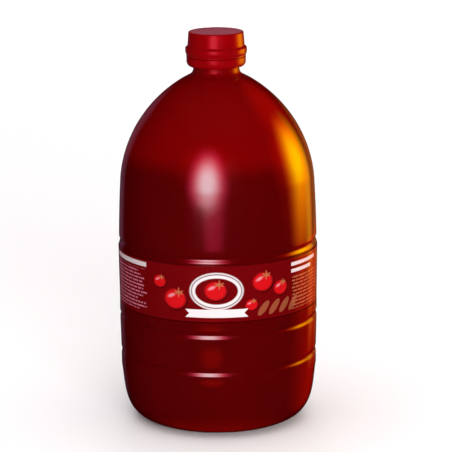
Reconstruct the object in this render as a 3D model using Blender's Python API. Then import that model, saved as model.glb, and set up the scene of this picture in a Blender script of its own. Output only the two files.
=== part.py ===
"""Large ketchup bottle: a blow-moulded bottle with a domed shoulder and three ring grooves, the ketchup in
it, a wrap-round label, and a screw cap with its tamper band. Metres, +Z up, standing on Z = 0, front at -Y."""

import math

import bmesh
import bpy
from mathutils import Vector
from mathutils.geometry import interpolate_bezier

# All pieces are turned about the Z axis in this many equal steps.
STEPS = 48
# Points nearer than this are one point, and edges sharper than this stay sharp.
MERGE_DISTANCE = 0.000001
SHARP_ANGLE = math.radians(35)
# Touching pieces keep this gap.
GAP = 0.0003

# The blown wall. A wall point at a sharp corner moves in by at most WALL / LEAST_MITRE.
WALL = 0.0008
LEAST_MITRE = 0.5

# Foot and heel
PUSH_UP_HEIGHT = 0.007
PUSH_UP_SPREAD = 0.0185
PUSH_UP_RUN_OUT = 0.0296
PUSH_UP_STEPS = 3
FOOT_INNER_RADIUS = 0.0370
FOOT_OUTER_RADIUS = 0.0436
HEEL_HEIGHT = 0.0412
HEEL_SWEEP_OUT = 0.0284
HEEL_SWEEP_DOWN = 0.0198
HEEL_LEAN = 0.15
HEEL_STEPS = 8

# Side, a little barrelled, with a slight bulge between the upper groove and the shoulder
HEEL_RADIUS = 0.0725
LOWER_GROOVE_RADIUS = 0.0725
MIDDLE_GROOVE_RADIUS = 0.0731
UPPER_GROOVE_RADIUS = 0.0730
SHOULDER_RADIUS = 0.0711
SHOULDER_HEIGHT = 0.1844
UPPER_SIDE_BULGE = 0.0003
UPPER_SIDE_HEIGHTS = (0.1540, 0.1690)

# Ring grooves
LOWER_GROOVE_HEIGHT = 0.0518
MIDDLE_GROOVE_HEIGHT = 0.0798
UPPER_GROOVE_HEIGHT = 0.1357
GROOVE_WIDTH = 0.0066
GROOVE_DEPTH = 0.0009
GROOVE_STEPS = 4
INNER_GROOVE_STEPS = 2

# Label, and the shallow panel that it lies in
LABEL_BOTTOM = 0.0902
LABEL_TOP = 0.1311
LABEL_BOTTOM_RADIUS = 0.0730
LABEL_TOP_RADIUS = 0.0735
LABEL_THICKNESS = 0.00035
PANEL_MARGIN = 0.0005
PANEL_EDGE = 0.0006

# Dome and neck
DOME_TOP_RADIUS = 0.0207
DOME_TOP_HEIGHT = 0.2567
DOME_SIDE_SWEEP = 0.0452
DOME_SIDE_LEAN = 0.1335
DOME_TOP_SWEEP = 0.0112
DOME_TOP_SLOPE = 0.4922
DOME_STEPS = 11
NECK_RADIUS = 0.0169
NECK_HEIGHT = 0.2619
FINISH_RADIUS = 0.0176
FINISH_HEIGHT = 0.2652
BORE_RADIUS = 0.0152
FILLET_STEPS = 3

# Tamper band under the cap, with its rounded lower edge
BAND_BOTTOM = 0.2636
BAND_TOP = 0.2707
BAND_RADIUS = 0.0217
BAND_BOTTOM_RADIUS = 0.0186
BAND_ROUND_TOP = 0.2678
BAND_ROUND_REACH = 0.0015
BAND_STEPS = 4

# Cap
CAP_BOTTOM = 0.2710
CAP_TOP = 0.2893
CAP_SKIRT_RADIUS = 0.0217
CAP_SKIRT_TOP = 0.2714
CAP_BEAD_RADIUS = 0.0225
CAP_BEAD_BOTTOM = 0.2748
CAP_BEAD_TOP = 0.2768
CAP_SHELL_BOTTOM = 0.2793
CAP_SHELL_RADIUS = 0.0208
CAP_TOP_RADIUS = 0.0202
CAP_CROWN = 0.0003
CAP_EDGE_RADIUS = 0.0009
CAP_STEPS = 3
CAP_BORE_RADIUS = 0.0182
CAP_PLATE = 0.0016

# Height of the ketchup over the surface that the bottle stands on
KETCHUP_LEVEL = 0.1903

# Colours in linear light
BOTTLE_RED = (0.20, 0.001, 0.002)
KETCHUP_RED = (0.30, 0.010, 0.004)
FILM_RED = (0.17, 0.002, 0.003)
CLOSURE_RED = (0.25, 0.001, 0.002)


def clear_scene():
    for obj in list(bpy.data.objects):
        bpy.data.objects.remove(obj, do_unlink=True)


def make_material(name, colour, roughness, coat):
    material = bpy.data.materials.new(name)
    material.use_nodes = True
    shader = material.node_tree.nodes["Principled BSDF"]
    shader.inputs["Base Color"].default_value = (*colour, 1.0)
    shader.inputs["Roughness"].default_value = roughness
    shader.inputs["Metallic"].default_value = 0.0
    shader.inputs["Coat Weight"].default_value = coat
    material.diffuse_color = (*colour, 1.0)
    return material


def sweep(start, start_handle, end_handle, end, steps):
    """Points (radius, height) of a smooth curve, without its start."""
    knots = [Vector((radius, height)) for radius, height in (start, start_handle, end_handle, end)]
    return [tuple(point) for point in interpolate_bezier(*knots, steps + 1)][1:]


def side_radius(height):
    """Radius of the side between the heel and the shoulder, without its grooves."""
    stations = (
        (HEEL_HEIGHT, HEEL_RADIUS),
        (LOWER_GROOVE_HEIGHT, LOWER_GROOVE_RADIUS),
        (MIDDLE_GROOVE_HEIGHT, MIDDLE_GROOVE_RADIUS),
        (UPPER_GROOVE_HEIGHT, UPPER_GROOVE_RADIUS),
        (SHOULDER_HEIGHT, SHOULDER_RADIUS),
    )
    for (low, low_radius), (high, high_radius) in zip(stations, stations[1:]):
        if height <= high:
            break
    rise = (height - low) / (high - low)
    bulge = 4 * UPPER_SIDE_BULGE * rise * (1 - rise) if high == SHOULDER_HEIGHT else 0.0
    return low_radius + (high_radius - low_radius) * rise + bulge


def label_radius(height):
    """Outer radius of the label, carried on in a straight line past its edges."""
    rise = (height - LABEL_BOTTOM) / (LABEL_TOP - LABEL_BOTTOM)
    return LABEL_BOTTOM_RADIUS + (LABEL_TOP_RADIUS - LABEL_BOTTOM_RADIUS) * rise


def groove(middle, steps):
    """A ring groove with a rounded bottom and soft lips, from its lower lip up."""
    points = []
    for step in range(steps + 1):
        across = 2 * step / steps - 1
        height = middle + across * GROOVE_WIDTH / 2
        depth = GROOVE_DEPTH * (1 + math.cos(math.pi * across)) / 2
        points.append((side_radius(height) - depth, height))
    return points


def foot_and_heel():
    """From the middle of the base out to the standing ring and up to the side."""
    push_up = sweep(
        (0.0, PUSH_UP_HEIGHT),
        (PUSH_UP_SPREAD, PUSH_UP_HEIGHT),
        (PUSH_UP_RUN_OUT, 0.0),
        (FOOT_INNER_RADIUS, 0.0),
        PUSH_UP_STEPS,
    )
    heel = sweep(
        (FOOT_OUTER_RADIUS, 0.0),
        (FOOT_OUTER_RADIUS + HEEL_SWEEP_OUT, 0.0),
        (HEEL_RADIUS - HEEL_LEAN * HEEL_SWEEP_DOWN, HEEL_HEIGHT - HEEL_SWEEP_DOWN),
        (HEEL_RADIUS, HEEL_HEIGHT),
        HEEL_STEPS,
    )
    return [(0.0, PUSH_UP_HEIGHT), *push_up, (FOOT_OUTER_RADIUS, 0.0), *heel]


def label_panel():
    """The side behind the label, set back by the label and its gap."""
    set_back = LABEL_THICKNESS + GAP
    ends = (LABEL_BOTTOM - PANEL_MARGIN, LABEL_TOP + PANEL_MARGIN)
    return [(label_radius(height) - set_back, height) for height in ends]


def on_side(*heights):
    """Points on the plain side."""
    return [(side_radius(height), height) for height in heights]


def dome_and_fillet():
    """From the shoulder up to the neck."""
    dome = sweep(
        (SHOULDER_RADIUS, SHOULDER_HEIGHT),
        (SHOULDER_RADIUS - DOME_SIDE_LEAN * DOME_SIDE_SWEEP, SHOULDER_HEIGHT + DOME_SIDE_SWEEP),
        (DOME_TOP_RADIUS + DOME_TOP_SWEEP, DOME_TOP_HEIGHT - DOME_TOP_SLOPE * DOME_TOP_SWEEP),
        (DOME_TOP_RADIUS, DOME_TOP_HEIGHT),
        DOME_STEPS,
    )
    half = (NECK_HEIGHT - DOME_TOP_HEIGHT) / 2
    fillet = sweep(
        (DOME_TOP_RADIUS, DOME_TOP_HEIGHT),
        (DOME_TOP_RADIUS - half, DOME_TOP_HEIGHT + DOME_TOP_SLOPE * half),
        (NECK_RADIUS, DOME_TOP_HEIGHT + half),
        (NECK_RADIUS, NECK_HEIGHT),
        FILLET_STEPS,
    )
    return [*dome, *fillet]


def outside():
    """The outside of the bottle from the middle of its base to the bottom of its neck."""
    return [
        *foot_and_heel(),
        *groove(LOWER_GROOVE_HEIGHT, GROOVE_STEPS),
        *groove(MIDDLE_GROOVE_HEIGHT, GROOVE_STEPS),
        *on_side(LABEL_BOTTOM - PANEL_MARGIN - PANEL_EDGE),
        *label_panel(),
        *groove(UPPER_GROOVE_HEIGHT, GROOVE_STEPS),
        *on_side(*UPPER_SIDE_HEIGHTS, SHOULDER_HEIGHT),
        *dome_and_fillet(),
    ]


def inside(distance):
    """The same shape with its small edges softened, set in by a distance."""
    return set_in(
        [
            *foot_and_heel(),
            *groove(LOWER_GROOVE_HEIGHT, INNER_GROOVE_STEPS),
            *groove(MIDDLE_GROOVE_HEIGHT, INNER_GROOVE_STEPS),
            *label_panel(),
            *groove(UPPER_GROOVE_HEIGHT, INNER_GROOVE_STEPS)[1:],
            *on_side(*UPPER_SIDE_HEIGHTS, SHOULDER_HEIGHT),
            *dome_and_fillet(),
        ],
        distance,
    )


def set_in(outline, distance):
    """The outline moved inwards by a distance, square to itself. Its first point stays on the axis."""
    moved = []
    for index, (radius, height) in enumerate(outline):
        before = Vector(outline[max(index - 1, 0)])
        after = Vector(outline[min(index + 1, len(outline) - 1)])
        here = Vector((radius, height))
        into = (here - before).normalized() if index else Vector((1, 0))
        away = (after - here).normalized() if index < len(outline) - 1 else into
        normals = [Vector((-run.y, run.x)) for run in (into, away)]
        middle = (normals[0] + normals[1]).normalized()
        reach = distance / max(middle.dot(normals[0]), LEAST_MITRE)
        moved.append((max(radius + middle.x * reach, 0.0), height + middle.y * reach))
    moved[0] = (0.0, outline[0][1] + distance)
    return moved


def turn(name, outline, material, closed):
    """A solid turned about Z from (radius, height) points. A closed outline makes a ring."""
    mesh = bpy.data.meshes.new(name)
    shape = bmesh.new()
    points = [shape.verts.new((radius, 0.0, height)) for radius, height in outline]
    edges = [shape.edges.new(pair) for pair in zip(points, points[1:])]
    if closed:
        edges.append(shape.edges.new((points[-1], points[0])))
    bmesh.ops.spin(
        shape,
        geom=points + edges,
        cent=(0, 0, 0),
        axis=(0, 0, 1),
        angle=math.tau,
        steps=STEPS,
        use_merge=True,
    )
    bmesh.ops.remove_doubles(shape, verts=shape.verts, dist=MERGE_DISTANCE)
    bmesh.ops.recalc_face_normals(shape, faces=shape.faces)
    shape.to_mesh(mesh)
    shape.free()
    mesh.shade_smooth()
    mesh.set_sharp_from_angle(angle=SHARP_ANGLE)
    mesh.materials.append(material)
    obj = bpy.data.objects.new(name, mesh)
    bpy.context.scene.collection.objects.link(obj)
    return obj


def make_bottle():
    """One blown wall from the base to the mouth, open at the top."""
    mouth = CAP_TOP - CAP_PLATE - GAP
    finish = [
        (NECK_RADIUS, FINISH_HEIGHT - (FINISH_RADIUS - NECK_RADIUS)),
        (FINISH_RADIUS, FINISH_HEIGHT),
        (FINISH_RADIUS, mouth),
        (BORE_RADIUS, mouth),
        (BORE_RADIUS, FINISH_HEIGHT),
    ]
    red = make_material("translucent_red_bottle", BOTTLE_RED, roughness=0.18, coat=0.4)
    outline = [*outside(), *finish, *reversed(inside(WALL))]
    return turn("bottle", outline, red, closed=False)


def make_ketchup():
    """What fills the bottle, from the base to its level."""
    skin = inside(WALL + GAP)
    below = [point for point in skin if point[1] < KETCHUP_LEVEL]
    above = skin[len(below)]
    rise = (KETCHUP_LEVEL - below[-1][1]) / (above[1] - below[-1][1])
    rim = below[-1][0] + (above[0] - below[-1][0]) * rise
    sauce = make_material("ketchup", KETCHUP_RED, roughness=0.35, coat=0.0)
    return turn("ketchup", [*below, (rim, KETCHUP_LEVEL), (0.0, KETCHUP_LEVEL)], sauce, closed=False)


def make_label():
    """A thin printed film once round the panel."""
    film = make_material("printed_film_label", FILM_RED, roughness=0.22, coat=0.0)
    outline = [
        (LABEL_BOTTOM_RADIUS, LABEL_BOTTOM),
        (LABEL_TOP_RADIUS, LABEL_TOP),
        (LABEL_TOP_RADIUS - LABEL_THICKNESS, LABEL_TOP),
        (LABEL_BOTTOM_RADIUS - LABEL_THICKNESS, LABEL_BOTTOM),
    ]
    return turn("label", outline, film, closed=True)


def make_tamper_band(red):
    """The ring that stays on the neck, with a well rounded lower edge."""
    corner = sweep(
        (BAND_BOTTOM_RADIUS, BAND_BOTTOM),
        (BAND_RADIUS - BAND_ROUND_REACH, BAND_BOTTOM),
        (BAND_RADIUS, BAND_BOTTOM + BAND_ROUND_REACH),
        (BAND_RADIUS, BAND_ROUND_TOP),
        BAND_STEPS,
    )
    bore = FINISH_RADIUS + GAP
    outline = [
        (BAND_BOTTOM_RADIUS, BAND_BOTTOM),
        *corner,
        (BAND_RADIUS, BAND_TOP),
        (bore, BAND_TOP),
        (bore, BAND_BOTTOM),
    ]
    return turn("tamper_band", outline, red, closed=True)


def make_cap(red):
    """A smooth tapered cap with a bead over its skirt and a slightly crowned top, hollow from below."""
    edge = []
    for step in range(CAP_STEPS + 1):
        angle = math.radians(90) * step / CAP_STEPS
        radius = CAP_TOP_RADIUS - CAP_EDGE_RADIUS * (1 - math.cos(angle))
        edge.append((radius, CAP_TOP - CAP_CROWN - CAP_EDGE_RADIUS * (1 - math.sin(angle))))
    turn_in = (CAP_BEAD_TOP + CAP_SHELL_BOTTOM) / 2
    over_bead = sweep(
        (CAP_BEAD_RADIUS, CAP_BEAD_TOP),
        (CAP_BEAD_RADIUS, turn_in),
        (CAP_SHELL_RADIUS, turn_in),
        (CAP_SHELL_RADIUS, CAP_SHELL_BOTTOM),
        CAP_STEPS,
    )
    outline = [
        (0.0, CAP_TOP - CAP_PLATE),
        (CAP_BORE_RADIUS, CAP_TOP - CAP_PLATE),
        (CAP_BORE_RADIUS, CAP_BOTTOM),
        (CAP_SKIRT_RADIUS, CAP_BOTTOM),
        (CAP_SKIRT_RADIUS, CAP_SKIRT_TOP),
        (CAP_BEAD_RADIUS, CAP_BEAD_BOTTOM),
        (CAP_BEAD_RADIUS, CAP_BEAD_TOP),
        *over_bead,
        *edge,
        (0.0, CAP_TOP),
    ]
    return turn("cap", outline, red, closed=False)


def main():
    clear_scene()
    make_bottle()
    make_ketchup()
    make_label()
    closure_red = make_material("moulded_red_closure", CLOSURE_RED, roughness=0.25, coat=0.3)
    make_tamper_band(closure_red)
    make_cap(closure_red)


main()
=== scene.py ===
"""Looks of a large ketchup bottle: a glossy red blown wall, a red screw cap, a printed film label
and the ketchup inside."""

import math

import bmesh
import bpy
from mathutils import Matrix, Vector
from mathutils.geometry import interpolate_bezier


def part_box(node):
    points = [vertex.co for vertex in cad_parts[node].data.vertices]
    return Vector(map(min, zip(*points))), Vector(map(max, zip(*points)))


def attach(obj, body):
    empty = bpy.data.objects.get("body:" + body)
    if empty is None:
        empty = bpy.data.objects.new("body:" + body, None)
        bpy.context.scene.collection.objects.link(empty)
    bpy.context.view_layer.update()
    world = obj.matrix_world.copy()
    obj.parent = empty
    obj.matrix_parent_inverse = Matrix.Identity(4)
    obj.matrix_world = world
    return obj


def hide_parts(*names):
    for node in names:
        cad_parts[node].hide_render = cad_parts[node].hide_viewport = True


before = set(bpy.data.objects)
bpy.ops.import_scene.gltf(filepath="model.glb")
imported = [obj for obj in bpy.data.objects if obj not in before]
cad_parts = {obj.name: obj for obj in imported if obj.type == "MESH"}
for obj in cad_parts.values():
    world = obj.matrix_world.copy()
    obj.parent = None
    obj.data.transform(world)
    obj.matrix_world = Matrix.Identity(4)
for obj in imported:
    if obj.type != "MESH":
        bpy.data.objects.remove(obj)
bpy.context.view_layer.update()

MM = 0.001

# Every piece is turned about Z in this many equal steps, and shades sharp over this angle
TURN_STEPS = 192
SHARP_ANGLE = math.radians(40)
MERGE_DISTANCE = 0.001 * MM

# Gap between the closure and the neck, and width of a moulded edge's bevel
CLEARANCE = 0.3 * MM
EDGE_BREAK = 0.2 * MM

# The bottle's own sizes in metres, as in its solids
WALL = 0.0008
PUSH_UP_HEIGHT = 0.007
PUSH_UP_SPREAD = 0.0185
PUSH_UP_RUN_OUT = 0.0296
FOOT_INNER_RADIUS = 0.0370
FOOT_OUTER_RADIUS = 0.0436
HEEL_HEIGHT = 0.0412
HEEL_SWEEP_OUT = 0.0284
HEEL_SWEEP_DOWN = 0.0198
HEEL_LEAN = 0.15
HEEL_RADIUS = 0.0725
LOWER_GROOVE_RADIUS = 0.0725
MIDDLE_GROOVE_RADIUS = 0.0731
UPPER_GROOVE_RADIUS = 0.0730
SHOULDER_RADIUS = 0.0711
SHOULDER_HEIGHT = 0.1844
UPPER_SIDE_BULGE = 0.0003
SHOULDER_ROUNDING = 0.006
LOWER_GROOVE_HEIGHT = 0.0518
MIDDLE_GROOVE_HEIGHT = 0.0798
UPPER_GROOVE_HEIGHT = 0.1357
GROOVE_WIDTH = 0.0066
GROOVE_DEPTH = 0.0009
LABEL_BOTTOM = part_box("label")[0].z
LABEL_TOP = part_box("label")[1].z
LABEL_BOTTOM_RADIUS = 0.0730
LABEL_TOP_RADIUS = 0.0735
LABEL_SET_BACK = 0.00065
PANEL_MARGIN = 0.0005
DOME_TOP_RADIUS = 0.0207
DOME_TOP_HEIGHT = 0.2567
DOME_SIDE_SWEEP = 0.0452
DOME_SIDE_LEAN = 0.1335
DOME_TOP_SWEEP = 0.0112
DOME_TOP_SLOPE = 0.4922
NECK_RADIUS = 0.0169
NECK_HEIGHT = 0.2619
FINISH_RADIUS = 0.0176
FINISH_HEIGHT = 0.2652
BORE_RADIUS = 0.0152
KETCHUP_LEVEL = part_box("ketchup")[1].z
BAND_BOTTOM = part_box("tamper_band")[0].z
BAND_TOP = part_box("tamper_band")[1].z
BAND_RADIUS = 0.0217
BAND_BOTTOM_RADIUS = 0.0186
BAND_ROUND_TOP = 0.2678
BAND_ROUND_REACH = 0.0015
CAP_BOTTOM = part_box("cap")[0].z
CAP_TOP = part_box("cap")[1].z
CAP_SKIRT_RADIUS = 0.0217
CAP_SKIRT_TOP = 0.2714
CAP_BEAD_RADIUS = 0.0225
CAP_BEAD_BOTTOM = 0.2748
CAP_BEAD_TOP = 0.2768
CAP_SHELL_BOTTOM = 0.2793
CAP_SHELL_RADIUS = 0.0208
CAP_TOP_RADIUS = 0.0202
CAP_CROWN = 0.0003
CAP_EDGE_RADIUS = 0.0012
CAP_BORE_RADIUS = 0.0182
CAP_PLATE = 0.0016
MOUTH_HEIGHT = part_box("bottle")[1].z

# The ketchup reaches 0.24 mm into the wall, and its surface dips a little away from it
FILL_SET_IN = 0.7 * WALL
DIP_HALFWAY = 0.4 * MM
DIP_IN_MIDDLE = 0.5 * MM

# Distance from the corner to the handles of a curve that draws a quarter round, over its radius
ROUND_HANDLE = 0.45

# Height of the fade from the filled wall's colour to the lighter red painted above the ketchup, a
# painted glow for light shining through the empty top
PAINTED_GLOW_FADE = 18 * MM
# The satin neck's roughness over that of the body
NECK_ROUGHENING = 0.17


def linear(code):
    """An sRGB hex colour as linear numbers with full alpha."""
    parts = [int(code[start:start + 2], 16) / 255 for start in (1, 3, 5)]
    return (*[p / 12.92 if p <= 0.04045 else ((p + 0.055) / 1.055) ** 2.4 for p in parts], 1.0)


def add(tree, kind, inputs=None, **settings):
    """Adds a node with its settings. An input is a value or another node's socket."""
    node = tree.nodes.new(kind)
    for name, value in settings.items():
        setattr(node, name, value)
    for socket, value in (inputs or {}).items():
        if isinstance(value, bpy.types.NodeSocket):
            tree.links.new(value, node.inputs[socket])
        else:
            node.inputs[socket].default_value = value
    return node


def new_material(name):
    """A material without any node yet, and its tree."""
    material = bpy.data.materials.new(name)
    material.use_nodes = True
    material.node_tree.nodes.clear()
    return material, material.node_tree


def uneven(tree, colour, noise, darkest, lightest):
    """A colour that a noise makes darker and lighter."""
    shade = add(
        tree,
        "ShaderNodeMapRange",
        {
            "Value": noise,
            "From Min": 0.3,
            "From Max": 0.7,
            "To Min": darkest,
            "To Max": lightest,
        },
    )
    shaded = add(
        tree,
        "ShaderNodeVectorMath",
        {0: colour, "Scale": shade.outputs[0]},
        operation="SCALE",
    )
    return shaded.outputs[0]


def sweep(start, start_handle, end_handle, end, steps):
    """Points (radius, height) of a smooth curve, without its start."""
    knots = [Vector(point) for point in (start, start_handle, end_handle, end)]
    return [tuple(point) for point in interpolate_bezier(*knots, steps + 1)][1:]


def side_radius(height):
    """The bottle's radius from the heel to the shoulder, without its grooves and label panel."""
    stations = (
        (HEEL_HEIGHT, HEEL_RADIUS),
        (LOWER_GROOVE_HEIGHT, LOWER_GROOVE_RADIUS),
        (MIDDLE_GROOVE_HEIGHT, MIDDLE_GROOVE_RADIUS),
        (UPPER_GROOVE_HEIGHT, UPPER_GROOVE_RADIUS),
        (SHOULDER_HEIGHT, SHOULDER_RADIUS),
    )
    for (low, low_radius), (high, high_radius) in zip(stations, stations[1:]):
        if height <= high:
            break
    rise = (height - low) / (high - low)
    bulge = 4 * UPPER_SIDE_BULGE * rise * (1 - rise) if high == SHOULDER_HEIGHT else 0.0
    return low_radius + (high_radius - low_radius) * rise + bulge


def label_radius(height):
    """The outside of the slightly tapered label."""
    rise = (height - LABEL_BOTTOM) / (LABEL_TOP - LABEL_BOTTOM)
    return LABEL_BOTTOM_RADIUS + (LABEL_TOP_RADIUS - LABEL_BOTTOM_RADIUS) * rise


def groove(middle, steps=14):
    """A ring groove with a rounded bottom and soft lips."""
    points = []
    for step in range(steps + 1):
        across = 2 * step / steps - 1
        height = middle + across * GROOVE_WIDTH / 2
        depth = GROOVE_DEPTH * (1 + math.cos(math.pi * across)) / 2
        points.append((side_radius(height) - depth, height))
    return points


def bottle_outside():
    """The outside of the bottle from the middle of its base to the bottom of its neck."""
    push_up = sweep(
        (0.0, PUSH_UP_HEIGHT),
        (PUSH_UP_SPREAD, PUSH_UP_HEIGHT),
        (PUSH_UP_RUN_OUT, 0.0),
        (FOOT_INNER_RADIUS, 0.0),
        steps=14,
    )
    heel = sweep(
        (FOOT_OUTER_RADIUS, 0.0),
        (FOOT_OUTER_RADIUS + HEEL_SWEEP_OUT, 0.0),
        (HEEL_RADIUS - HEEL_LEAN * HEEL_SWEEP_DOWN, HEEL_HEIGHT - HEEL_SWEEP_DOWN),
        (HEEL_RADIUS, HEEL_HEIGHT),
        steps=28,
    )
    low = LABEL_BOTTOM - PANEL_MARGIN
    high = LABEL_TOP + PANEL_MARGIN
    panel = [(label_radius(height) - LABEL_SET_BACK, height) for height in (low, high)]
    upper_groove = groove(UPPER_GROOVE_HEIGHT)
    dome = sweep(
        (SHOULDER_RADIUS, SHOULDER_HEIGHT),
        (SHOULDER_RADIUS - DOME_SIDE_LEAN * DOME_SIDE_SWEEP, SHOULDER_HEIGHT + DOME_SIDE_SWEEP),
        (DOME_TOP_RADIUS + DOME_TOP_SWEEP, DOME_TOP_HEIGHT - DOME_TOP_SLOPE * DOME_TOP_SWEEP),
        (DOME_TOP_RADIUS, DOME_TOP_HEIGHT),
        steps=40,
    )
    top_of_groove = upper_groove[-1][1]
    side_steps = 10
    side_rise = (SHOULDER_HEIGHT - SHOULDER_ROUNDING - top_of_groove) / side_steps
    side_heights = [top_of_groove + side_rise * step for step in range(1, side_steps + 1)]
    side = [(side_radius(height), height) for height in side_heights]
    # The corner between the side and the dome is rounded over
    corner = (SHOULDER_RADIUS, SHOULDER_HEIGHT)
    above = next(point for point in dome if point[1] > SHOULDER_HEIGHT + SHOULDER_ROUNDING)
    shoulder = sweep(side[-1], corner, corner, above, steps=10)
    half = (NECK_HEIGHT - DOME_TOP_HEIGHT) / 2
    fillet = sweep(
        (DOME_TOP_RADIUS, DOME_TOP_HEIGHT),
        (DOME_TOP_RADIUS - half, DOME_TOP_HEIGHT + DOME_TOP_SLOPE * half),
        (NECK_RADIUS, DOME_TOP_HEIGHT + half),
        (NECK_RADIUS, NECK_HEIGHT),
        steps=10,
    )
    return [
        (0.0, PUSH_UP_HEIGHT),
        *push_up,
        (FOOT_OUTER_RADIUS, 0.0),
        *heel,
        *groove(LOWER_GROOVE_HEIGHT),
        *groove(MIDDLE_GROOVE_HEIGHT),
        (side_radius(low - PANEL_MARGIN), low - PANEL_MARGIN),
        *panel,
        *upper_groove,
        *side,
        *shoulder,
        *dome[dome.index(above) + 1:],
        *fillet,
    ]


def set_in(outline, distance):
    """The outline moved inwards by a distance, square to itself."""
    moved = []
    for index, (radius, height) in enumerate(outline):
        before = Vector(outline[max(index - 1, 0)])
        after = Vector(outline[min(index + 1, len(outline) - 1)])
        along = (after - before).normalized()
        moved.append((max(radius - along.y * distance, 0.0), height + along.x * distance))
    moved[0] = (0.0, outline[0][1] + distance)
    return moved


def turn(name, outline, closed):
    """A piece turned about Z from (radius, height) points. A closed outline makes a ring."""
    shape = bmesh.new()
    points = [shape.verts.new((radius, 0.0, height)) for radius, height in outline]
    edges = [shape.edges.new(pair) for pair in zip(points, points[1:])]
    if closed:
        edges.append(shape.edges.new((points[-1], points[0])))
    bmesh.ops.spin(
        shape,
        geom=points + edges,
        cent=(0, 0, 0),
        axis=(0, 0, 1),
        angle=math.tau,
        steps=TURN_STEPS,
        use_merge=True,
    )
    bmesh.ops.remove_doubles(shape, verts=shape.verts, dist=MERGE_DISTANCE)
    bmesh.ops.recalc_face_normals(shape, faces=shape.faces)
    mesh = bpy.data.meshes.new(name)
    shape.to_mesh(mesh)
    shape.free()
    mesh.shade_smooth()
    mesh.set_sharp_from_angle(angle=SHARP_ANGLE)
    piece = bpy.data.objects.new(name, mesh)
    bpy.context.scene.collection.objects.link(piece)
    return piece


def dress(piece, materials, node):
    """Gives the piece its materials, hangs it under the root body and hides the solid it stands in
    for.
    """
    for material in materials:
        piece.data.materials.append(material)
    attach(piece, "root")
    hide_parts(node)


# Colours
# The wall's red with ketchup behind it, and a lighter red painted where no ketchup is, a painted
# glow for light shining through the empty top
FILLED_WALL = linear("#440001")
EMPTY_WALL_PAINTED_GLOW = linear("#620001")
CLOSURE_RED = linear("#750003")
KETCHUP_RED = linear("#8E1A0C")
LABEL_RED = linear("#5A0003")
BRIGHT_RED = linear("#B00810")
DEEP_RED = linear("#380001")
GLINT_PINK = linear("#C88088")
PAPER_WHITE = linear("#CCC4C4")
TAN_INK = linear("#9A5838")
PINK_INK = linear("#A86072")
SKY_WHITE = linear("#FBFAFA")


def red_plastic_material(name, gloss, gloss_tint):
    """Pigmented PET. The body is blown in a polished mould: a hard clear gloss over a deep red,
    with a faint ripple and a parting line down each side. Above the ketchup the red is painted
    lighter, a painted glow for the light that shines through the empty top of the wall. The neck
    is injection moulded before the bottle is blown, and stays satin, with a weak gloss that the
    pigment reddens."""
    material, tree = new_material(name)
    place = add(tree, "ShaderNodeTexCoord").outputs["Object"]
    axes = add(tree, "ShaderNodeSeparateXYZ", {0: place})
    # Painted glow: above the ketchup's level the wall is painted lighter, for light shining
    # through the empty top of the bottle
    painted_glow_rise = add(
        tree,
        "ShaderNodeMapRange",
        {
            "Value": axes.outputs["Z"],
            "From Min": KETCHUP_LEVEL,
            "From Max": KETCHUP_LEVEL + PAINTED_GLOW_FADE,
        },
        interpolation_type="SMOOTHSTEP",
    )
    body = add(
        tree,
        "ShaderNodeMix",
        {"Factor": painted_glow_rise.outputs[0], "A": FILLED_WALL, "B": EMPTY_WALL_PAINTED_GLOW},
        data_type="RGBA",
    )
    # Uneven pigment and wall, in soft patches about 30 mm across
    patches = add(
        tree,
        "ShaderNodeTexNoise",
        {"Vector": place, "Scale": 1 / (30 * MM), "Detail": 2.0},
    )
    shaded = uneven(tree, body.outputs["Result"], patches.outputs["Fac"], 0.94, 1.06)
    # Ripple of the blown surface, about 9 mm from crest to crest
    ripple = add(
        tree,
        "ShaderNodeTexNoise",
        {"Vector": place, "Scale": 1 / (9 * MM), "Detail": 1.0},
    )
    ripple_bump = add(
        tree,
        "ShaderNodeBump",
        {"Height": ripple.outputs["Fac"], "Strength": 0.25, "Distance": 0.05 * MM},
    )
    # Parting line of the mould in the plane Y = 0, which reaches 0.4 mm to each side
    from_seam = add(tree, "ShaderNodeMath", {0: axes.outputs["Y"]}, operation="ABSOLUTE")
    seam = add(
        tree,
        "ShaderNodeMapRange",
        {
            "Value": from_seam.outputs[0],
            "From Min": 0.0,
            "From Max": 0.4 * MM,
            "To Min": 1.0,
            "To Max": 0.0,
        },
        interpolation_type="SMOOTHSTEP",
    )
    seam_bump = add(
        tree,
        "ShaderNodeBump",
        {
            "Height": seam.outputs[0],
            "Strength": 0.5,
            "Distance": 0.06 * MM,
            "Normal": ripple_bump.outputs[0],
        },
    )
    # Fine handling haze in the gloss, about 4 mm across
    haze = add(
        tree,
        "ShaderNodeTexNoise",
        {"Vector": place, "Scale": 1 / (4 * MM), "Detail": 3.0},
    )
    roughness = add(
        tree,
        "ShaderNodeMapRange",
        {
            "Value": haze.outputs["Fac"],
            "From Min": 0.35,
            "From Max": 0.7,
            "To Min": 0.085,
            "To Max": 0.115,
        },
    )
    # The gloss fades to satin where the dome meets the neck
    neck = add(
        tree,
        "ShaderNodeMapRange",
        {
            "Value": axes.outputs["Z"],
            "From Min": DOME_TOP_HEIGHT - 3 * MM,
            "From Max": DOME_TOP_HEIGHT + 2 * MM,
        },
        interpolation_type="SMOOTHSTEP",
    )
    satin = add(
        tree,
        "ShaderNodeMath",
        {0: neck.outputs[0], 1: NECK_ROUGHENING, 2: roughness.outputs[0]},
        operation="MULTIPLY_ADD",
    )
    shader = add(
        tree,
        "ShaderNodeBsdfPrincipled",
        {
            "Base Color": shaded,
            "Roughness": satin.outputs[0],
            "Specular IOR Level": gloss,
            "Specular Tint": gloss_tint,
            "Normal": seam_bump.outputs[0],
            "IOR": 1.5,
        },
    )
    add(tree, "ShaderNodeOutputMaterial", {"Surface": shader.outputs[0]})
    return material


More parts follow.
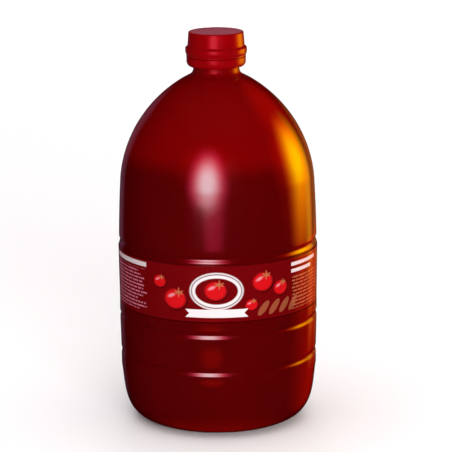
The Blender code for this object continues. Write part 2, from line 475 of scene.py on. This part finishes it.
def closure_material():
    """Polypropylene, injection moulded in a lightly textured tool: a satin gloss over solid red,
    with a weak highlight that the pigment reddens."""
    material, tree = new_material("moulded_red_polypropylene")
    place = add(tree, "ShaderNodeTexCoord").outputs["Object"]
    # Cloudy flow marks of the moulding, about 6 mm across
    flow = add(
        tree,
        "ShaderNodeTexNoise",
        {"Vector": place, "Scale": 1 / (6 * MM), "Detail": 2.0},
    )
    shaded = uneven(tree, CLOSURE_RED[:3], flow.outputs["Fac"], 0.93, 1.07)
    # Tool texture, drawn at 0.5 mm because a finer grain would not show
    grain = add(
        tree,
        "ShaderNodeTexNoise",
        {"Vector": place, "Scale": 1 / (0.5 * MM), "Detail": 2.0},
    )
    bump = add(
        tree,
        "ShaderNodeBump",
        {"Height": grain.outputs["Fac"], "Strength": 0.25, "Distance": 0.02 * MM},
    )
    shader = add(
        tree,
        "ShaderNodeBsdfPrincipled",
        {
            "Base Color": shaded,
            "Roughness": 0.21,
            "IOR": 1.49,
            "Specular IOR Level": 0.20,
            "Specular Tint": (1.0, 0.18, 0.26, 1.0),
            "Normal": bump.outputs[0],
        },
    )
    add(tree, "ShaderNodeOutputMaterial", {"Surface": shader.outputs[0]})
    return material


def ketchup_material():
    """Ketchup: a thick wet tomato paste with fine pulp in it."""
    material, tree = new_material("ketchup_paste")
    place = add(tree, "ShaderNodeTexCoord").outputs["Object"]
    # Pulp, in flecks about 1.5 mm across
    pulp = add(
        tree,
        "ShaderNodeTexNoise",
        {"Vector": place, "Scale": 1 / (1.5 * MM), "Detail": 3.0},
    )
    shaded = uneven(tree, KETCHUP_RED[:3], pulp.outputs["Fac"], 0.8, 1.15)
    bump = add(
        tree,
        "ShaderNodeBump",
        {"Height": pulp.outputs["Fac"], "Strength": 0.4, "Distance": 0.2 * MM},
    )
    shader = add(
        tree,
        "ShaderNodeBsdfPrincipled",
        {"Base Color": shaded, "Roughness": 0.3, "Normal": bump.outputs[0]},
    )
    add(tree, "ShaderNodeOutputMaterial", {"Surface": shader.outputs[0]})
    return material


def oval(tree, plane, middle, size, turned=0.0, soft=0.06):
    """Mask of an oval on the print, in millimetres and degrees."""
    local = add(
        tree,
        "ShaderNodeMapping",
        {
            "Vector": plane,
            "Location": (*middle, 0.0),
            "Rotation": (0.0, 0.0, math.radians(turned)),
            "Scale": (size[0] / 2, size[1] / 2, 1.0),
        },
        vector_type="TEXTURE",
    )
    away = add(tree, "ShaderNodeVectorMath", {0: local.outputs[0]}, operation="LENGTH")
    mask = add(
        tree,
        "ShaderNodeMapRange",
        {
            "Value": away.outputs["Value"],
            "From Min": 1 - soft,
            "From Max": 1 + soft,
            "To Min": 1.0,
            "To Max": 0.0,
        },
    )
    return mask.outputs[0]


def bar(tree, plane, middle, size, turned=0.0):
    """Mask of a straight bar on the print, in millimetres and degrees."""
    local = add(
        tree,
        "ShaderNodeMapping",
        {
            "Vector": plane,
            "Location": (*middle, 0.0),
            "Rotation": (0.0, 0.0, math.radians(turned)),
            "Scale": (size[0] / 2, size[1] / 2, 1.0),
        },
        vector_type="TEXTURE",
    )
    away = add(tree, "ShaderNodeVectorMath", {0: local.outputs[0]}, operation="ABSOLUTE")
    sides = add(tree, "ShaderNodeSeparateXYZ", {0: away.outputs[0]})
    farther = add(
        tree,
        "ShaderNodeMath",
        {0: sides.outputs[0], 1: sides.outputs[1]},
        operation="MAXIMUM",
    )
    mask = add(tree, "ShaderNodeMath", {0: farther.outputs[0], 1: 1.0}, operation="LESS_THAN")
    return mask.outputs[0]


def print_ink(tree, under, mask, ink, strength=1.0):
    """One ink printed over what is under it."""
    amount = add(tree, "ShaderNodeMath", {0: mask, 1: strength}, operation="MULTIPLY")
    mixed = add(
        tree,
        "ShaderNodeMix",
        {"Factor": amount.outputs[0], "A": under, "B": ink},
        data_type="RGBA",
    )
    return mixed.outputs["Result"]


def print_tomato(tree, under, plane, middle, width):
    """A plain round tomato: a bright disc, a darker lower edge, a glint and a tan stalk star. The
    numbers are shares of its width and height."""
    across, up = middle
    height = width * 0.88
    under = print_ink(tree, under, oval(tree, plane, middle, (width, height)), DEEP_RED)
    lit_middle = (across - width * 0.04, up + height * 0.05)
    lit = oval(tree, plane, lit_middle, (width * 0.9, height * 0.88), soft=0.15)
    under = print_ink(tree, under, lit, BRIGHT_RED)
    glint_middle = (across - width * 0.2, up + height * 0.2)
    glint = oval(tree, plane, glint_middle, (width * 0.3, height * 0.14), 25, soft=0.5)
    under = print_ink(tree, under, glint, GLINT_PINK, 0.8)
    stalk = (across + width * 0.12, up + height * 0.36)
    for angle in (20, 90, 160):
        leaf = oval(tree, plane, stalk, (width * 0.42, width * 0.07), angle)
        under = print_ink(tree, under, leaf, TAN_INK, 0.9)
    return under


# Small print: the step from line to line in millimetres, the line's height as a share of it, the
# millimetres that its dashes are scaled by, the noise below which there is a gap, and the shortest
# line as a share of the longest
LINE_PITCH = 2.6
LINE_WEIGHT = 0.45
DASH_LENGTH = 5
DASH_GAP = 0.42
SHORTEST_LINE = 0.75


def print_small_lines(tree, under, plane, left, right, bottom, top, ink, strength):
    """A block of thin broken rules with ragged ends, as small print looks from afar."""
    axes = add(tree, "ShaderNodeSeparateXYZ", {0: plane})
    line = add(tree, "ShaderNodeMath", {0: axes.outputs["Y"], 1: LINE_PITCH}, operation="DIVIDE")
    row = add(tree, "ShaderNodeMath", {0: line.outputs[0]}, operation="FLOOR")
    within = add(tree, "ShaderNodeMath", {0: line.outputs[0]}, operation="FRACT")
    inked = add(
        tree,
        "ShaderNodeMath",
        {0: within.outputs[0], 1: LINE_WEIGHT},
        operation="LESS_THAN",
    )
    # Dashes of uneven length, so that a rule does not look like one stroke
    dash = add(
        tree,
        "ShaderNodeMath",
        {0: axes.outputs["X"], 1: 1 / DASH_LENGTH},
        operation="MULTIPLY",
    )
    place = add(tree, "ShaderNodeCombineXYZ", {"X": dash.outputs[0], "Y": row.outputs[0]})
    gaps = add(
        tree,
        "ShaderNodeTexNoise",
        {"Vector": place.outputs[0], "Scale": 3.0, "Detail": 0.0},
    )
    joined = add(
        tree,
        "ShaderNodeMath",
        {0: gaps.outputs["Fac"], 1: DASH_GAP},
        operation="GREATER_THAN",
    )
    # Each line ends at its own place near the right edge of the block
    ends = add(tree, "ShaderNodeTexWhiteNoise", {"W": row.outputs[0]}, noise_dimensions="1D")
    shortest = left + SHORTEST_LINE * (right - left)
    reach = add(
        tree,
        "ShaderNodeMapRange",
        {"Value": ends.outputs["Value"], "To Min": shortest, "To Max": right},
    )
    short = add(
        tree,
        "ShaderNodeMath",
        {0: axes.outputs["X"], 1: reach.outputs[0]},
        operation="LESS_THAN",
    )
    middle = ((left + right) / 2, (bottom + top) / 2)
    mask = bar(tree, plane, middle, (right - left, top - bottom))
    for part in (short, inked, joined):
        both = add(tree, "ShaderNodeMath", {0: mask, 1: part.outputs[0]}, operation="MULTIPLY")
        mask = both.outputs[0]
    return print_ink(tree, under, mask, ink, strength)


# The label's design in millimetres: right of the middle of the front, and up from the film's foot.
# A place is a middle, and a size is a width and a height.
TOMATOES = (((-31, 15), 18), ((-44, 27), 11), ((34, 27), 17), ((49, 21), 13), ((25, 11), 10))
LEAVES = ((34, 8), (43, 8), (52, 8), (61, 8))
LEAF_SIZE = (13, 5)
RING_MIDDLE = (-1, 22.5)
RING_OVALS = (
    ((39, 27.5), PAPER_WHITE),
    ((37, 25.5), DEEP_RED),
    ((35.5, 24), PAPER_WHITE),
    ((31, 19.5), LABEL_RED),
)
RING_TOMATO = ((-1, 22), 17)
RIBBON = ((-1, 6), (46, 6))
RIBBON_NOTCHES = ((-24, 6), (22, 6))
NOTCH_SIZE = (4.2, 4.2)
LEFT_HEADING = ((-80, 37.5), (46, 3.4))
RIGHT_HEADINGS = (((76, 36.5), (34, 2.6)), ((72, 31.5), (26, 2.6)))


def label_material():
    """Polypropylene film, printed on its back and laminated: a smooth gloss over flat inks. The
    design is plain fields and shapes, and it comes round twice."""
    material, tree = new_material("printed_polypropylene_film")
    place = add(tree, "ShaderNodeTexCoord").outputs["Object"]
    axes = add(tree, "ShaderNodeSeparateXYZ", {0: place})
    back = add(tree, "ShaderNodeMath", {0: axes.outputs["Y"], 1: -1.0}, operation="MULTIPLY")
    angle = add(
        tree,
        "ShaderNodeMath",
        {0: axes.outputs["X"], 1: back.outputs[0]},
        operation="ARCTAN2",
    )
    radius = (LABEL_BOTTOM_RADIUS + LABEL_TOP_RADIUS) / 2 / MM
    around = add(tree, "ShaderNodeMath", {0: angle.outputs[0], 1: radius}, operation="MULTIPLY")
    half_repeat = math.pi * radius / 2
    repeated = add(
        tree,
        "ShaderNodeMath",
        {0: around.outputs[0], 1: half_repeat, 2: -half_repeat},
        operation="WRAP",
    )
    height = add(
        tree,
        "ShaderNodeMath",
        {0: axes.outputs["Z"], 1: 1 / MM, 2: -LABEL_BOTTOM / MM},
        operation="MULTIPLY_ADD",
    )
    both = {"X": repeated.outputs[0], "Y": height.outputs[0]}
    plane = add(tree, "ShaderNodeCombineXYZ", both).outputs[0]

    ink = LABEL_RED
    # Bright tomatoes each side of the middle
    for middle, width in TOMATOES:
        ink = print_tomato(tree, ink, plane, middle, width)
    # Slanting tan leaves along the lower right
    for middle in LEAVES:
        ink = print_ink(tree, ink, oval(tree, plane, middle, LEAF_SIZE, 50), TAN_INK, 0.5)
    # White oval ring round one tomato, over a ribbon with notched ends
    for size, colour in RING_OVALS:
        ink = print_ink(tree, ink, oval(tree, plane, RING_MIDDLE, size, soft=0.03), colour)
    ink = print_tomato(tree, ink, plane, *RING_TOMATO)
    ink = print_ink(tree, ink, bar(tree, plane, *RIBBON), PAPER_WHITE)
    for middle in RIBBON_NOTCHES:
        ink = print_ink(tree, ink, bar(tree, plane, middle, NOTCH_SIZE, 45), LABEL_RED)
    # Headings and small print at both sides
    ink = print_ink(tree, ink, bar(tree, plane, *LEFT_HEADING), PAPER_WHITE, 0.75)
    ink = print_small_lines(
        tree, ink, plane, left=-102, right=-56, bottom=3, top=34, ink=PINK_INK, strength=0.85
    )
    for middle, size in RIGHT_HEADINGS:
        ink = print_ink(tree, ink, bar(tree, plane, middle, size), PAPER_WHITE, 0.9)
    ink = print_small_lines(
        tree, ink, plane, left=60, right=102, bottom=3, top=28, ink=TAN_INK, strength=0.8
    )

    # Slack in the film, in soft swells about 25 mm across
    slack = add(
        tree,
        "ShaderNodeTexNoise",
        {"Vector": place, "Scale": 1 / (25 * MM), "Detail": 1.0},
    )
    bump = add(
        tree,
        "ShaderNodeBump",
        {"Height": slack.outputs["Fac"], "Strength": 0.3, "Distance": 0.15 * MM},
    )
    shader = add(
        tree,
        "ShaderNodeBsdfPrincipled",
        {"Base Color": ink, "Roughness": 0.13, "IOR": 1.49, "Normal": bump.outputs[0]},
    )
    add(tree, "ShaderNodeOutputMaterial", {"Surface": shader.outputs[0]})
    return material


def make_bottle():
    """The wall, open at the mouth. The faces above the dome have the neck's satin material."""
    outside = bottle_outside()
    finish = [
        (NECK_RADIUS, FINISH_HEIGHT - (FINISH_RADIUS - NECK_RADIUS)),
        (FINISH_RADIUS, FINISH_HEIGHT),
        (FINISH_RADIUS, MOUTH_HEIGHT),
        (BORE_RADIUS, MOUTH_HEIGHT),
        (BORE_RADIUS, FINISH_HEIGHT),
    ]
    inside = set_in(outside, WALL)
    piece = turn("blown_bottle", [*outside, *finish, *reversed(inside)], closed=False)
    body = red_plastic_material("blown_red_PET", gloss=0.5, gloss_tint=(1.0, 1.0, 1.0, 1.0))
    neck = red_plastic_material("moulded_red_PET", gloss=0.22, gloss_tint=(1.0, 0.16, 0.22, 1.0))
    dress(piece, [body, neck], "bottle")
    for face in piece.data.polygons:
        face.material_index = int(face.center.z > DOME_TOP_HEIGHT)


def make_ketchup():
    """The contents, which reach just into the wall, so that no air gap shows."""
    skin = set_in(bottle_outside(), FILL_SET_IN)
    below = [point for point in skin if point[1] < KETCHUP_LEVEL]
    rim = below[-1][0]
    outline = [
        *below,
        (rim, KETCHUP_LEVEL),
        (rim / 2, KETCHUP_LEVEL - DIP_HALFWAY),
        (0.0, KETCHUP_LEVEL - DIP_IN_MIDDLE),
    ]
    piece = turn("ketchup_fill", outline, closed=False)
    dress(piece, [ketchup_material()], "ketchup")


def make_label():
    """The film, wrapped round in its shallow panel and half as thick as the panel is deep."""
    thickness = LABEL_SET_BACK / 2
    outline = [
        (LABEL_BOTTOM_RADIUS, LABEL_BOTTOM),
        (LABEL_TOP_RADIUS, LABEL_TOP),
        (LABEL_TOP_RADIUS - thickness, LABEL_TOP),
        (LABEL_BOTTOM_RADIUS - thickness, LABEL_BOTTOM),
    ]
    piece = turn("film_label", outline, closed=True)
    dress(piece, [label_material()], "label")


def make_closure():
    """The tamper band with its rounded lower edge, and the screw cap over it."""
    red = closure_material()
    corner = sweep(
        (BAND_BOTTOM_RADIUS, BAND_BOTTOM),
        (BAND_RADIUS - BAND_ROUND_REACH, BAND_BOTTOM),
        (BAND_RADIUS, BAND_BOTTOM + BAND_ROUND_REACH),
        (BAND_RADIUS, BAND_ROUND_TOP),
        steps=12,
    )
    bore = FINISH_RADIUS + CLEARANCE
    band = [
        (BAND_BOTTOM_RADIUS, BAND_BOTTOM),
        *corner,
        (BAND_RADIUS, BAND_TOP - EDGE_BREAK),
        (BAND_RADIUS - EDGE_BREAK, BAND_TOP),
        (bore, BAND_TOP),
        (bore, BAND_BOTTOM),
    ]
    dress(turn("tamper_ring", band, closed=True), [red], "tamper_band")

    turn_in = (CAP_BEAD_TOP + CAP_SHELL_BOTTOM) / 2
    swell = (CAP_SKIRT_TOP + CAP_BEAD_BOTTOM) / 2
    over_skirt = sweep(
        (CAP_SKIRT_RADIUS, CAP_SKIRT_TOP),
        (CAP_SKIRT_RADIUS, swell),
        (CAP_BEAD_RADIUS, swell),
        (CAP_BEAD_RADIUS, CAP_BEAD_BOTTOM),
        steps=8,
    )
    over_bead = sweep(
        (CAP_BEAD_RADIUS, CAP_BEAD_TOP),
        (CAP_BEAD_RADIUS, turn_in),
        (CAP_SHELL_RADIUS, turn_in),
        (CAP_SHELL_RADIUS, CAP_SHELL_BOTTOM),
        steps=10,
    )
    crown_edge = CAP_TOP - CAP_CROWN
    edge = sweep(
        (CAP_TOP_RADIUS, crown_edge - CAP_EDGE_RADIUS),
        (CAP_TOP_RADIUS, crown_edge - CAP_EDGE_RADIUS * ROUND_HANDLE),
        (CAP_TOP_RADIUS - CAP_EDGE_RADIUS * ROUND_HANDLE, crown_edge),
        (CAP_TOP_RADIUS - CAP_EDGE_RADIUS, crown_edge),
        steps=8,
    )
    crown = sweep(
        edge[-1],
        (CAP_TOP_RADIUS * 0.7, crown_edge + CAP_CROWN * 0.6),
        (CAP_TOP_RADIUS * 0.4, CAP_TOP),
        (0.0, CAP_TOP),
        steps=8,
    )
    outline = [
        (0.0, CAP_TOP - CAP_PLATE),
        (CAP_BORE_RADIUS, CAP_TOP - CAP_PLATE),
        (CAP_BORE_RADIUS, CAP_BOTTOM),
        (CAP_SKIRT_RADIUS - EDGE_BREAK, CAP_BOTTOM),
        (CAP_SKIRT_RADIUS, CAP_BOTTOM + EDGE_BREAK),
        (CAP_SKIRT_RADIUS, CAP_SKIRT_TOP),
        *over_skirt,
        (CAP_BEAD_RADIUS, CAP_BEAD_TOP),
        *over_bead,
        (CAP_TOP_RADIUS, crown_edge - CAP_EDGE_RADIUS),
        *edge,
        *crown,
    ]
    dress(turn("screw_cap", outline, closed=False), [red], "cap")


# Camera, as far off and as high as the photograph's, turned a little about its own axis. Metres,
# degrees, and the lens in the pixels of a picture 452 pixels wide.
CAMERA_DISTANCE = 1.830
CAMERA_ELEVATION = 13.135
CAMERA_TILT = -0.472
CAMERA_LENS_PIXELS = 2476.5
CAMERA_SENSOR_MM = 36
PICTURE_PIXELS = 452
CAMERA_AIM = Vector((0.00615, 0.0, 0.1436))


def make_camera():
    """The camera on the bottle's front, looking down at it from its own distance."""
    camera = bpy.data.cameras.new("camera")
    camera.sensor_width = CAMERA_SENSOR_MM
    camera.lens = CAMERA_SENSOR_MM * CAMERA_LENS_PIXELS / PICTURE_PIXELS
    holder = bpy.data.objects.new("camera", camera)
    elevation = math.radians(CAMERA_ELEVATION)
    towards = Vector((0, math.cos(elevation), -math.sin(elevation)))
    turned = towards.to_track_quat("-Z", "Y").to_matrix().to_4x4()
    roll = Matrix.Rotation(math.radians(CAMERA_TILT), 4, "Z")
    place = Matrix.Translation(CAMERA_AIM - towards * CAMERA_DISTANCE)
    holder.matrix_world = place @ turned @ roll
    bpy.context.scene.collection.objects.link(holder)
    bpy.context.scene.camera = holder


# Light colours, linear
COOL_WHITE = (1.0, 0.78, 0.84, 1.0)
PINK = (1.0, 0.03, 0.12, 1.0)
GOLD = (1.0, 0.52, 0.0, 1.0)
ORANGE = (1.0, 0.09, 0.0, 1.0)
YELLOW = (1.0, 0.66, 0.0, 1.0)
AMBER = (1.0, 0.28, 0.05, 1.0)
EMBER = (1.0, 0.18, 0.02, 1.0)
RED = (1.0, 0.01, 0.0, 1.0)
VIOLET = (0.75, 0.28, 0.5, 1.0)
MAUVE = (1.0, 0.46, 0.62, 1.0)
GREY = (1.0, 0.955, 0.965, 1.0)

# Panels seen only in the gloss, which glow from their core outwards. The columns are the name, the
# azimuth in degrees, in metres the distance from the axis, the lower and upper end and the width,
# then the core's radiance, its colour, the edge's colour, and as shares the core's height in the
# panel and its size. A last number is the purity, the power by which the core's colour gives way
# to the edge's.
GLOSS_PANELS = (
    # The pink-white highlight on the front, and the red round it and below it
    ("key_panel", -11, 0.9, 0.078, 1.04, 0.96, 15.0, COOL_WHITE, PINK, 0.27, 0.1, 2.5),
    ("key_surround", -12, 0.9, 0.05, 1.20, 1.70, 1.4, RED, RED, 0.5, 0.3),
    ("low_glow", -4.5, 0.9, -0.09, 0.078, 0.53, 3.1, PINK, PINK, 0.72, 0.3),
    ("foot_glow", -8, 0.9, -0.36, -0.13, 0.60, 2.0, RED, RED, 0.5, 0.3),
    # The golden streak down the right side, and its fading edges
    ("gold_panel", 106, 0.5, -0.065, 0.60, 0.52, 13.4, GOLD, ORANGE, 0.5, 0.1, 1.5),
    ("red_edge", 82, 0.5, 0.0, 0.50, 0.34, 1.8, RED, RED, 0.6, 0.1),
    ("yellow_wash", 126, 0.7, -0.06, 0.62, 0.40, 2.2, YELLOW, YELLOW, 0.42, 0.1),
    ("ember_wash", 131, 0.7, -0.22, 0.34, 0.32, 2.2, EMBER, EMBER, 0.5, 0.1),
    ("amber_strip", 151, 0.7, -0.22, 0.40, 0.50, 0.55, AMBER, AMBER, 0.5, 0.3),
    ("high_red_wash", 118, 0.7, 0.30, 1.50, 1.30, 1.8, RED, RED, 0.4, 0.1),
    ("low_red_wash", 124, 0.7, -0.66, -0.02, 1.20, 1.20, RED, RED, 0.89, 0.1),
    # The violet rim on the left, and the mauve sheen of the cap's top
    ("rim_strip", -148, 0.7, -0.35, 0.45, 0.42, 0.24, VIOLET, VIOLET, 0.7, 0.3),
    ("back_card", 180, 1.5, 0.34, 0.90, 0.80, 0.61, MAUVE, MAUVE, 0.5, 0.1),
)

# Even panels that light only the matt surfaces. The columns are the name, the azimuth in degrees,
# in metres the distance from the axis, the lower and upper end and the width, and the radiance.
FILL_PANELS = (
    ("front_fill", 12, 3.0, 0.02, 1.56, 1.6, 11.5),
    ("low_front_fill", 0, 0.8, 0.01, 0.15, 0.9, 2.6),
    ("back_fill", 180, 2.8, 0.1, 1.6, 1.5, 4.2),
)

CEILING_HEIGHT = 2.2
CEILING_SIZE = 3.0
CEILING_RADIANCE = 1.35
UNDER_GLOW_PLACE = (0, -0.05, -0.3)
UNDER_GLOW_SIZE = 0.8
UNDER_GLOW_RADIANCE = 0.8
FLOOR_RADIUS = 6.0


def make_lamp(name, width, height, radiance, location, turned, seen_in):
    """A rectangular soft lamp, hidden from the camera. It is seen in the gloss, or lights the matt
    surfaces."""
    lamp = bpy.data.lights.new(name, "AREA")
    lamp.shape = "RECTANGLE"
    lamp.size = width
    lamp.size_y = height
    lamp.energy = radiance * width * height * math.pi
    holder = bpy.data.objects.new(name, lamp)
    holder.location = location
    holder.rotation_euler = turned
    holder.visible_camera = False
    holder.visible_diffuse = seen_in == "diffuse"
    holder.visible_glossy = seen_in == "glossy"
    bpy.context.scene.collection.objects.link(holder)
    return lamp


def make_panel(name, azimuth, distance, low, high, width, radiance, seen_in):
    """An upright lamp that faces the bottle. Azimuth 0 is the camera's side and 90 the right."""
    turn_by = math.radians(azimuth)
    sideways = math.sin(turn_by) * distance
    forwards = -math.cos(turn_by) * distance
    location = (sideways, forwards, (low + high) / 2)
    turned = (math.radians(90), 0, turn_by)
    return make_lamp(name, width, high - low, radiance, location, turned, seen_in)


def make_it_glow(lamp, core, edge, core_height, core_size, purity=3.0):
    """Lets a lamp glow from its core outwards, from one colour to another."""
    lamp.use_nodes = True
    tree = lamp.node_tree
    tree.nodes.clear()
    across = add(tree, "ShaderNodeNewGeometry").outputs["Parametric"]
    local = add(
        tree,
        "ShaderNodeMapping",
        {
            "Vector": across,
            "Location": (0.5, core_height, 0.0),
            "Scale": (0.5, max(core_height, 1 - core_height), 1.0),
        },
        vector_type="TEXTURE",
    )
    away = add(tree, "ShaderNodeVectorMath", {0: local.outputs[0]}, operation="LENGTH")
    glow = add(
        tree,
        "ShaderNodeMapRange",
        {"Value": away.outputs["Value"], "From Min": 1.0, "From Max": core_size},
        interpolation_type="SMOOTHSTEP",
    )
    near_core = add(tree, "ShaderNodeMath", {0: glow.outputs[0], 1: purity}, operation="POWER")
    tint = add(
        tree,
        "ShaderNodeMix",
        {"Factor": near_core.outputs[0], "A": edge, "B": core},
        data_type="RGBA",
    )
    light = add(
        tree,
        "ShaderNodeEmission",
        {"Color": tint.outputs["Result"], "Strength": glow.outputs[0]},
    )
    add(tree, "ShaderNodeOutputLight", {"Surface": light.outputs[0]})


def make_lights():
    """Soft panels round the bottle. The gloss mirrors some, and others light the matt surfaces."""
    for name, azimuth, distance, low, high, width, radiance, *glow in GLOSS_PANELS:
        lamp = make_panel(name, azimuth, distance, low, high, width, radiance, "glossy")
        make_it_glow(lamp, *glow)
    for fill in FILL_PANELS:
        make_panel(*fill, "diffuse").color = GREY[:3]
    ceiling = make_lamp(
        "ceiling",
        CEILING_SIZE,
        CEILING_SIZE,
        CEILING_RADIANCE,
        (0, 0, CEILING_HEIGHT),
        (0, 0, 0),
        "diffuse",
    )
    ceiling.color = GREY[:3]
    # Shines up from under the floor, into the gloss of the heel
    under = make_lamp(
        "under_glow",
        UNDER_GLOW_SIZE,
        UNDER_GLOW_SIZE,
        UNDER_GLOW_RADIANCE,
        UNDER_GLOW_PLACE,
        (math.pi, 0, 0),
        "glossy",
    )
    make_it_glow(under, RED, RED, core_height=0.5, core_size=0.1)


def make_floor():
    """A plain pale floor. It lights the bottle but isn't mirrored in it."""
    shape = bmesh.new()
    bmesh.ops.create_circle(shape, cap_ends=True, segments=96, radius=FLOOR_RADIUS)
    mesh = bpy.data.meshes.new("floor")
    shape.to_mesh(mesh)
    shape.free()
    floor = bpy.data.objects.new("floor", mesh)
    material, tree = new_material("pale_floor")
    place = add(tree, "ShaderNodeTexCoord").outputs["Object"]
    cloud = add(tree, "ShaderNodeTexNoise", {"Vector": place, "Scale": 2.0})
    shade = add(
        tree,
        "ShaderNodeMapRange",
        {"Value": cloud.outputs["Fac"], "To Min": 0.93, "To Max": 0.95},
    )
    shader = add(
        tree,
        "ShaderNodeBsdfPrincipled",
        {"Base Color": shade.outputs[0], "Roughness": 0.9, "Specular IOR Level": 0.1},
    )
    add(tree, "ShaderNodeOutputMaterial", {"Surface": shader.outputs[0]})
    mesh.materials.append(material)
    floor.visible_glossy = False
    bpy.context.scene.collection.objects.link(floor)


def make_sky():
    """An even pale surround. It lights the bottle but isn't mirrored in it."""
    world = bpy.data.worlds.new("studio")
    world.use_nodes = True
    sky = world.node_tree.nodes["Background"]
    sky.inputs["Color"].default_value = SKY_WHITE
    sky.inputs["Strength"].default_value = 0.4
    world.cycles_visibility.glossy = False
    bpy.context.scene.world = world
    bpy.context.scene.view_settings.view_transform = "Standard"


make_camera()
make_bottle()
make_ketchup()
make_label()
make_closure()
make_floor()
make_sky()
make_lights()
